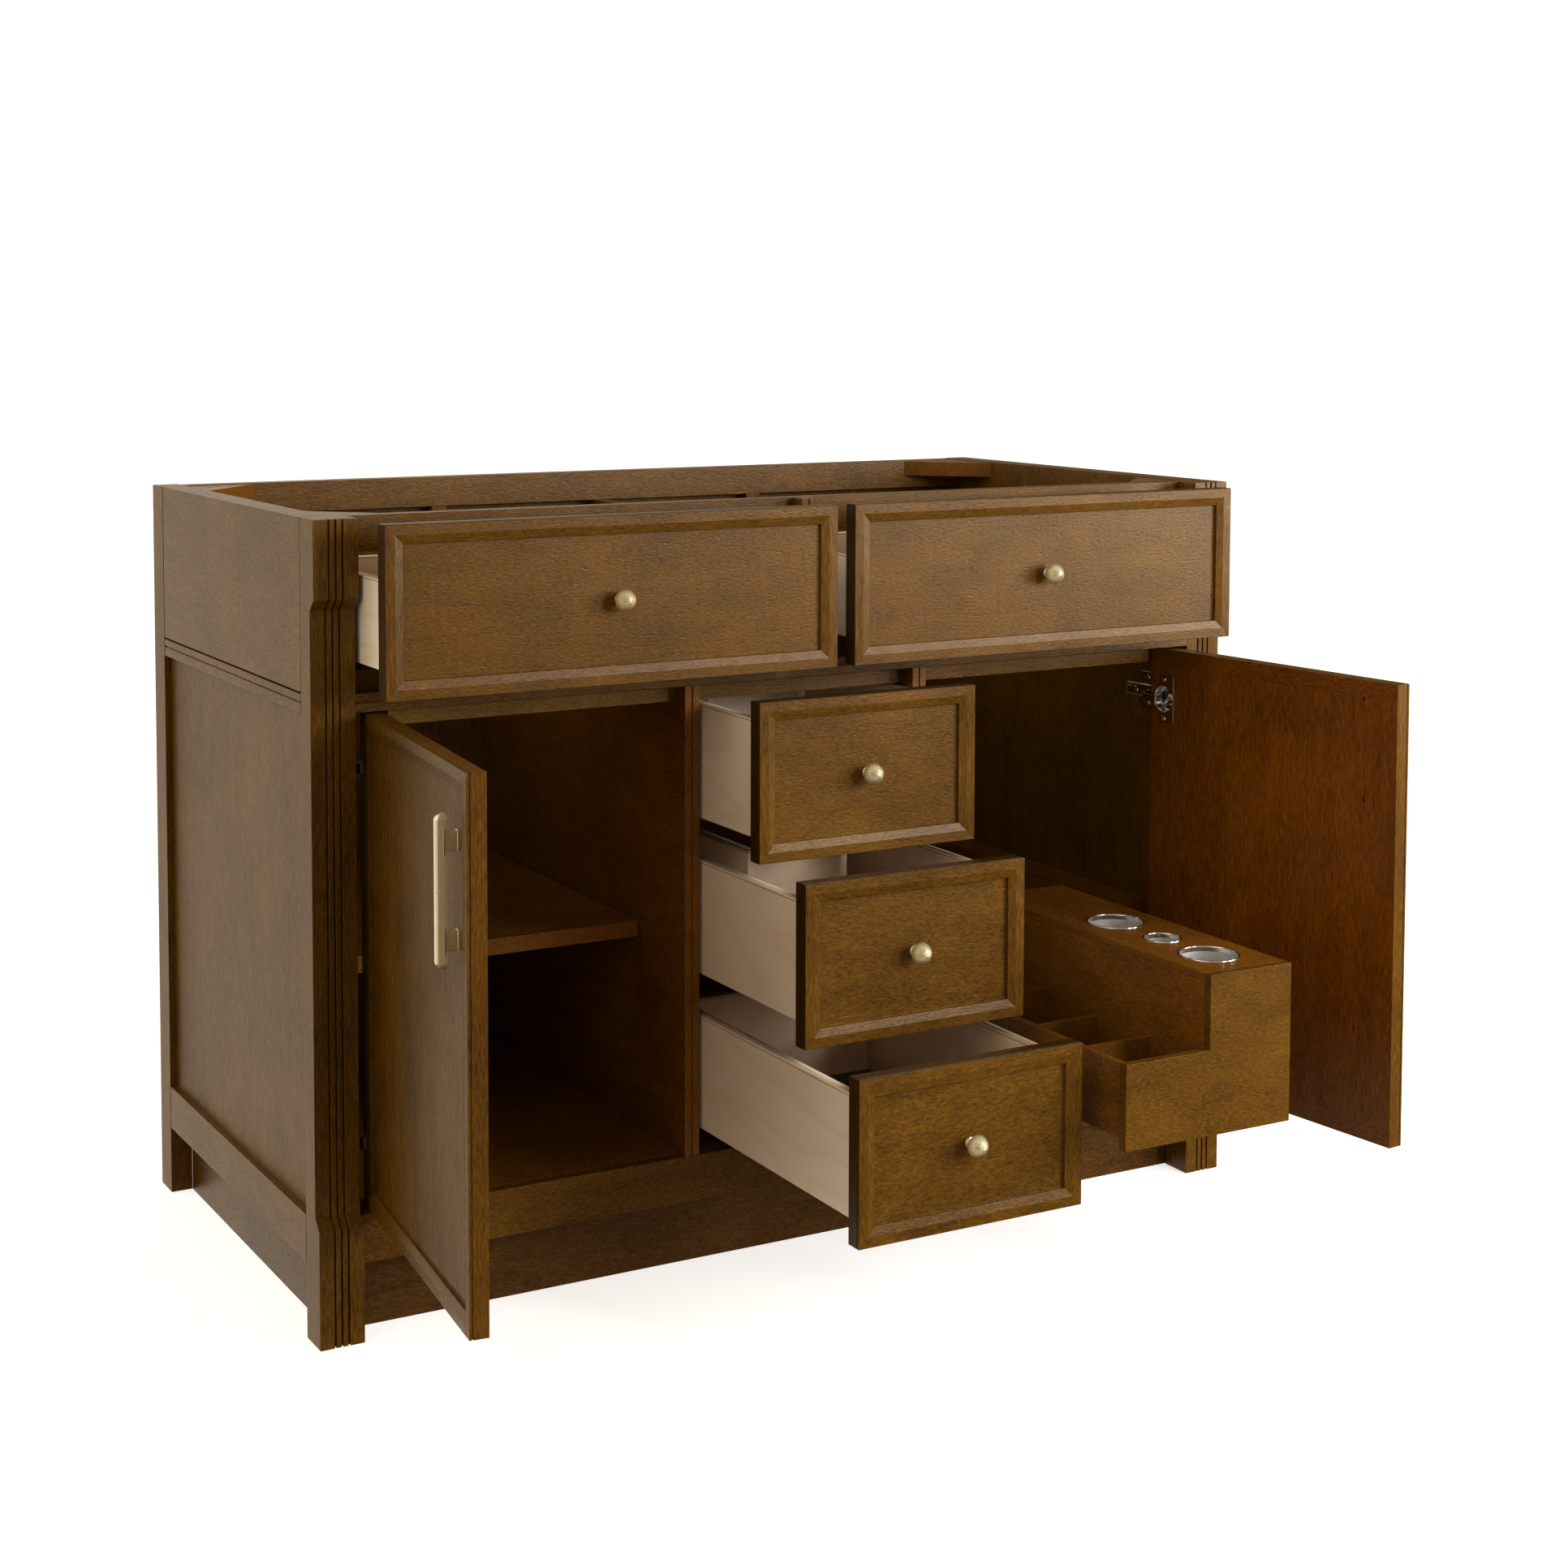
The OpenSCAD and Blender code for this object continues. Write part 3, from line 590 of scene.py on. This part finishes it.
def pull_mesh():
    """A long bar with a ribbed face and round ends, on two flared stand-offs. Its foot is at y 0."""
    length, spacing = 151 * MM, 96 * MM
    width, depth, reach = 9.0 * MM, 11.0 * MM, 22.5 * MM
    rib = 1.5 * MM
    made = bmesh.new()
    rings = []
    steps = 12
    ends = [math.radians(90 * i / steps) for i in range(steps)]
    round_h = 7 * MM
    for t in ends:
        swell = max(0.12, math.sin(t))
        height = -length / 2 + round_h * (1 - math.cos(t))
        rings.append(bar_ring(width * swell, depth * swell, 1.7 * MM * swell, height, depth * swell))
    span = length - 2 * round_h
    count = int(span / rib)
    for i in range(count * 4 + 1):
        height = -span / 2 + span * i / (count * 4)
        groove = 0.2 * MM if i % 4 == 2 else 0.0
        middle_cut = 0.5 * MM if abs(height) < 0.3 * MM else 0.0
        cut = groove + middle_cut
        rings.append(bar_ring(width - 2 * cut, depth, 1.7 * MM, height, depth - cut))
    for ring in [rings[i] for i in reversed(range(steps))]:
        rings.append([(x, y, -z) for x, y, z in ring])
    back = -(reach - depth)
    add_rings(made, [[(x, y + back, z) for x, y, z in ring] for ring in rings])
    for middle in (-spacing / 2, spacing / 2):
        levels = [(0, 4.6, 10.3), (0.9, 4.6, 10.3), (1.3, 4.2, 9.8), (9.0, 4.2, 9.8), (11.2, 4.3, 10.2),
                  (12.9, 4.6, 11.4), (14.0, 4.9, 13.2), (14.8, 5.0, 15.4)]
        posts = []
        for out, half_w, half_h in levels:
            ring = []
            for sx, sz, start in ((1, 1, 0), (-1, 1, 90), (-1, -1, 180), (1, -1, 270)):
                corner = 1.4
                centre = (sx * (half_w - corner), sz * (half_h - corner))
                for x, z in arc(centre, corner, start, start + 90, 5):
                    ring.append((x * MM, -out * MM, middle + z * MM))
            posts.append(ring)
        add_rings(made, posts)
    return mesh_of("pull", made)


def make_pull(side, name, body):
    low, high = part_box(name)
    height = (low.z + high.z) / 2
    gap, from_edge = 2 * MM, 50 * MM
    closed = Matrix.Translation((side * (STACK_X + gap + from_edge), PANEL_Y, height))
    put_in(name + "_ribbed", pull_mesh(), body, BRASS, (name,), leaf_place(side) @ closed)


# ---- hinges ----

CUP_X = 534.5 * MM
CUP_R = 17.5 * MM
HINGE_ZS = (201.4 * MM, 613.8 * MM)


def add_screw(made, place, radius, turn):
    """A pan-head screw with a cross recess, standing along the place's +Z."""
    head = bmesh.new()
    add_turned(head, [(radius, 0), (radius, 0.5 * MM), (radius * 0.86, 1.1 * MM), (radius * 0.55, 1.45 * MM),
                      (radius * 0.3, 1.5 * MM), (radius * 0.26, 0.9 * MM), (radius * 0.1, 0.8 * MM)], 24)
    for i in range(2):
        bar = Matrix.Rotation(turn + i * math.pi / 2, 4, "Z") @ Matrix.Translation((0, 0, 1.42 * MM))
        size = Matrix.Diagonal((radius * 1.1, 0.5 * MM, 0.3 * MM, 1))
        bmesh.ops.create_cube(head, size=1, matrix=bar @ size)
    bmesh.ops.transform(head, matrix=place, verts=head.verts)
    mesh = bpy.data.meshes.new("screw")
    head.to_mesh(mesh)
    head.free()
    made.from_mesh(mesh)
    bpy.data.meshes.remove(mesh)


def cup_mesh(height):
    """A pressed cup in the closed right door, with a flange, its screws and the link's bearing."""
    made = bmesh.new()
    lip = 16.4 * MM
    side, wide, half_tall = 17.5, 24.5, 31
    outline = arc((0, 0), 19.0, 112, 248, 30)
    outline += rounded_outline((side - wide, -half_tall), (side, half_tall), 3.0)
    outline = [(x * MM, y * MM) for x, y in outline]
    hole = arc((0, 0), lip, 0, 352.5, 48)
    add_plate(made, outline, [hole], 0, 1.2 * MM, edge=0.25 * MM)
    wall = [(lip, 1.0), (lip - 0.4 * MM, 0.2), (lip - 0.6 * MM, -4), (lip - 0.9 * MM, -9.0),
            (lip - 2.4 * MM, -10.4), (2 * MM, -10.6)]
    outside = CUP_R - 0.2 * MM
    wall += [(2 * MM, -10.95), (outside, -10.9), (outside, 0.3), (lip, 1.0)]
    add_rings(made, [circle(r, h * MM, 48) for r, h in wall], capped=False)
    bmesh.ops.remove_doubles(made, verts=made.verts, dist=1e-6)
    for z in (-8.6, 8.6):
        add_board(made, (4.5 * MM, z * MM - 2.2 * MM, -9.5 * MM), (13.5 * MM, z * MM + 2.2 * MM, -4.5 * MM))
    for z in (-25, 25):
        add_screw(made, Matrix.Translation((1 * MM, z * MM, 1.1 * MM)), 3.6 * MM, 0.6)
    # its own Z points out of the door's inner face, and its X away from the hinge edge
    stand = Matrix(((-1, 0, 0, CUP_X), (0, 0, 1, DOOR_BACK_Y), (0, 1, 0, height), (0, 0, 0, 1)))
    bmesh.ops.transform(made, matrix=stand, verts=made.verts)
    return mesh_of("hinge_cup", made)


def arm_mesh(height):
    """The cabinet's half of a right hinge: a mounting plate, a ribbed arm and a cranked neck."""
    made = bmesh.new()

    def deep(depth):
        return depth * MM - ORIGIN_D

    def inward(distance):
        return BLOCK_X - distance * MM

    def above(rise):
        return height + rise * MM

    outline = rounded_outline((66, -24), (104, 24), 5)
    plate = bmesh.new()
    add_plate(plate, [(px * MM, py * MM) for px, py in outline], [], 0, 2.6 * MM, edge=0.4 * MM)
    for wy in (-17, 17):
        add_screw(plate, Matrix.Translation((85 * MM, wy * MM, 2.4 * MM)), 3.9 * MM, 0.3)
    lay = Matrix(((0, 0, -1, BLOCK_X), (1, 0, 0, -ORIGIN_D), (0, 1, 0, height), (0, 0, 0, 1)))
    bmesh.ops.transform(plate, matrix=lay, verts=plate.verts)
    mesh = bpy.data.meshes.new("plate")
    plate.to_mesh(mesh)
    plate.free()
    made.from_mesh(mesh)
    bpy.data.meshes.remove(mesh)
    # the arm is a channel: a web, two turned edges and a block under it
    add_board(made, (inward(12.2), deep(58), above(-8)), (inward(10.8), deep(117), above(8)))
    for edge in (-8, 6.6):
        add_board(made, (inward(12.2), deep(58), above(edge)), (inward(6.0), deep(117), above(edge + 1.4)))
    add_board(made, (inward(10.6), deep(70), above(-6)), (inward(2.6), deep(112), above(6)))
    lay = Matrix(((0, 0, -1, inward(12.0)), (1, 0, 0, 0), (0, 1, 0, height), (0, 0, 0, 1)))
    for depth, radius in ((72, 3.4), (98, 4.4)):
        add_screw(made, lay @ Matrix.Translation((deep(depth), 0, 0)), radius * MM, 0.8)
    # the neck narrows towards the cup and hooks into it
    add_board(made, (inward(13.4), deep(49.0), above(-6.6)), (inward(9.0), deep(60), above(6.6)))
    add_board(made, (inward(39.5), deep(47.4), above(-5.6)), (inward(11.0), deep(49.6), above(5.6)))
    for edge in (-6, 4.8):
        add_board(made, (inward(38.5), deep(47.0), above(edge)), (inward(13.0), deep(50), above(edge + 1.2)))
    add_board(made, (inward(39.5), deep(25.2), above(-3.8)), (inward(37.7), deep(49.4), above(3.8)))
    add_board(made, (inward(38.6), deep(24.6), above(-3.8)), (inward(29.8), deep(26.6), above(3.8)))
    return mesh_of("hinge_arm", made)


def make_hinges():
    flip = Matrix.Diagonal((-1, 1, 1, 1))
    for side, word in ((-1, "left"), (1, "right")):
        for level, height in zip(("lower", "upper"), HINGE_ZS):
            arm = arm_mesh(height)
            cup = cup_mesh(height)
            if side < 0:
                for mesh in (arm, cup):
                    mesh.transform(flip)
                    mesh.flip_normals()
            put_in(f"{word}_{level}_hinge_arm", arm, "cabinet", NICKEL, ("hinge_arms",),
                   bevel=0.25 * MM)
            put_in(f"{word}_{level}_hinge_cup", cup, word + "_leaf", NICKEL,
                   (word + "_hinge_cups",), leaf_place(side), bevel=0.15 * MM)


# ---- drawer boxes ----

BASE_UP = 8 * MM
BASE_T = 6 * MM


def make_box(name, body, notched, seed):
    """A drawer's plywood walls with rounded top edges, and its thin dark base."""
    low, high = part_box(name)
    made = bmesh.new()
    boards = [((low.x, low.y, low.z), (low.x + WALL, high.y, high.z)),
              ((high.x - WALL, low.y, low.z), (high.x, high.y, high.z)),
              ((low.x + WALL, low.y, low.z), (high.x - WALL, low.y + WALL, high.z))]
    base = [((low.x + WALL, low.y + WALL), (high.x - WALL, high.y - WALL))]
    if notched:
        inner, front = 68 * MM, low.y + 235 * MM
        back = high.y - WALL
        for s in (-1, 1):
            xs = sorted((s * inner, s * (inner - WALL)))
            boards.append(((xs[0], front, low.z), (xs[1], high.y, high.z)))
            xs = sorted((s * inner, s * (high.x - WALL)))
            boards.append(((xs[0], back, low.z), (xs[1], high.y, high.z)))
        boards.append(((WALL - inner, front, low.z), (inner - WALL, front + WALL, high.z)))
        base = [((low.x + WALL, low.y + WALL), (high.x - WALL, front)),
                ((low.x + WALL, front), (-inner, back)), ((inner, front), (high.x - WALL, back))]
    else:
        boards.append(((low.x + WALL, high.y - WALL, low.z), (high.x - WALL, high.y, high.z)))
    for a, b in boards:
        add_board(made, a, b)
    material = birch(name + "_ply", "Y", seed, low, high)
    put_in(name + "_walls", mesh_of(name + "_walls", made), body, material, (name,),
           bevel=1.1 * MM)
    made = bmesh.new()
    for (x0, y0), (x1, y1) in base:
        add_board(made, (x0, y0, low.z + BASE_UP), (x1, y1, low.z + BASE_UP + BASE_T))
    dark_base_wood = wood(name + "_base_dark", "X", seed + 0.4, DARK)
    put_in(name + "_base", mesh_of(name + "_base", made), body, dark_base_wood, bevel=0.3 * MM)


# ---- organiser ----

def make_cups():
    """Three spun metal cups with bright rolled rims, each in a rebate in the organiser's top."""
    low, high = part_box("organiser_cups")
    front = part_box("organiser_front")[0].y
    centre_x = (low.x + high.x) / 2
    for word, along, radius in (("front", 71.6, 35.7), ("middle", 153.5, 23.5), ("rear", 240.4, 35.7)):
        place = Matrix.Translation((centre_x, front + along * MM, 0))
        r = radius * MM
        top = high.z
        lip = 1.1 * MM
        inner = r - 3.4 * MM
        made = bmesh.new()
        wall = [(0.3 * MM, low.z), (inner - 3 * MM, low.z), (inner - 0.4 * MM, low.z + 2.4 * MM),
                (inner + 0.5 * MM, low.z + 6 * MM), (inner + 0.5 * MM, top - 4 * MM),
                (inner + 0.1 * MM, top - 4 * MM), (inner, low.z + 7 * MM),
                (inner - 0.9 * MM, low.z + 3.4 * MM), (inner - 3 * MM, low.z + 0.9 * MM),
                (0.3 * MM, low.z + 0.8 * MM)]
        add_turned(made, wall, 96)
        put_in(f"{word}_cup", mesh_of("cup", made), "organiser", CUP, ("organiser_cups",), place)
        made = bmesh.new()
        roll = arc((r - 1.9 * MM, top - lip), lip, 0, 345, 24)
        add_rings(made, [circle(a, h, 96) for a, h in [*roll, roll[0]]], capped=False)
        sleeve = [(inner, top - 6 * MM), (inner, top - 1.6 * MM), (inner + 0.9 * MM, top - 0.7 * MM),
                  (inner + 1.2 * MM, top - 1.8 * MM), (inner + 0.6 * MM, top - 6 * MM)]
        add_rings(made, [circle(a, h, 96) for a, h in [*sleeve, sleeve[0]]], capped=False)
        bmesh.ops.remove_doubles(made, verts=made.verts, dist=1e-7)
        put_in(f"{word}_cup_rim", mesh_of("cup_rim", made), "organiser", RIM, (), place)


# ---- the CAD nodes ----

GRAINS = {
    "X": ["front_bottom_rail", "front_toe_board", "mid_rail", "mid_stretchers", "top_stretcher",
          "back_top_rail", "shelf", "front_gussets", "organiser_front"],
    "Y": ["side_mid_rails", "side_bottom_rails", "side_toe_boards", "left_upper_side", "right_upper_side",
          "bottom_panel", "rear_gussets", "organiser_base", "side_ledge", "organiser_lid", "organiser_top",
          "left_partition", "right_partition", "organiser_box"],
    "Z": ["front_left_post", "front_right_post", "rear_left_leg", "rear_right_leg", "left_side_panel",
          "right_side_panel", "top_divider", "back_stiles", "back_panel", "hinge_blocks"],
}
# parts inside the cabinet, which take the lighter, more red tones of painted bounce light
INSIDE = {"bottom_panel", "left_partition", "right_partition", "front_gussets",
          "rear_gussets", "shelf", "hinge_blocks", "side_ledge",
          "organiser_base", "organiser_box", "organiser_lid", "organiser_top"}
TOE = {"front_toe_board", "side_toe_boards"}
FRONTS = ["left_top_front", "right_top_front", "upper_front", "middle_front", "lower_front"]
BODY_OF = {node: body for body, members in frame["record"]["behaviour"]["bodies"].items()
           for node in members}


def dress(name, material, bevel=0.6 * MM, crisp=False):
    """Gives a CAD node its material and soft edges."""
    piece = nodes[name]
    piece.data.materials.clear()
    piece.data.materials.append(material)
    round_edges(piece, bevel, crisp)


def dress_frame():
    for grain, names in GRAINS.items():
        for i, name in enumerate(names):
            # parts inside the cabinet take the tones of painted bounce light
            tones = INNER_BOUNCE_LIT if name in INSIDE else DARK if name in TOE else WALNUT
            dress(name, wood(name + "_wood", grain, 1.7 * i + 3.1 * "XYZ".index(grain), tones))
    for name in ("drawer_runners", "organiser_slides"):
        dress(name, ZINC, 0.4 * MM)
    dress("shelf_pins", NICKEL, 0.2 * MM)


def dress_fronts():
    for i, name in enumerate(FRONTS):
        low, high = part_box(name)
        size = (high.x - low.x, high.z - low.z)
        material = framed_wood(name + "_wood", middle_of(low, high), 0, size, "X", 5.3 + 2.9 * i, 0.62)
        dress(name, material, 0.45 * MM, crisp=True)
    for side, name in ((-1, "left_door"), (1, "right_door")):
        low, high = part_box(name)
        middle = Vector((side * (STACK_X + BLOCK_X) / 2, 22 * MM - ORIGIN_D, (low.z + high.z) / 2))
        place = leaf_place(side)
        size = (BLOCK_X - STACK_X - 4 * MM, high.z - low.z)
        turn = math.atan2(place[1][0], place[0][0])
        knots = [(-0.147, 0.1985), (-0.149, 0.104)] if side > 0 else ()
        material = framed_wood(name + "_wood", place @ middle, turn, size, "Z", 9.7 + side, 0.0, knots)
        dress(name, material, 0.45 * MM, crisp=True)


make_camera()
bpy.context.scene.view_settings.view_transform = "Standard"
bpy.context.scene.view_settings.gamma = 0.85
WHITE, SOFT, WARM = (1.0, 0.93, 0.80), (1.0, 0.86, 0.66), (1.0, 0.74, 0.46)
make_world([((-0.30, 0.95, -0.05), 0.45, 0.85, WHITE, 0.90), ((-0.9, 0.06, 0.5), 0.45, 0.95, SOFT, 1.04),
            ((0.77, -0.64, 0.1), -0.1, 0.6, WARM, 0.32), ((-0.72, -0.66, 0.25), 0.50, 0.95, SOFT, 0.30)],
           ((1.0, 0.74, 0.46), 0.11), 1.6)
softbox("key", (2.8, -2.1, 1.25), (0, -0.2, 0.5), (1.4, 1.4), 100, (1.0, 0.95, 0.86))
softbox("upper", (1.30, -2.75, 1.55), (0, -0.2, 0.5), (0.5, 1.1), 38, (1.0, 0.98, 0.95))
make_floor()
dress_frame()
dress_fronts()
for node in ("left_top_knob", "right_top_knob", "upper_knob", "middle_knob", "lower_knob"):
    make_knob(node, BODY_OF[node])
make_pull(-1, "left_handle", "left_leaf")
make_pull(1, "right_handle", "right_leaf")
make_hinges()
for seed, node in enumerate(("left_top_box", "right_top_box", "upper_box", "middle_box", "lower_box")):
    make_box(node, BODY_OF[node], node in ("upper_box", "middle_box"), 1.3 + seed)
make_cups()
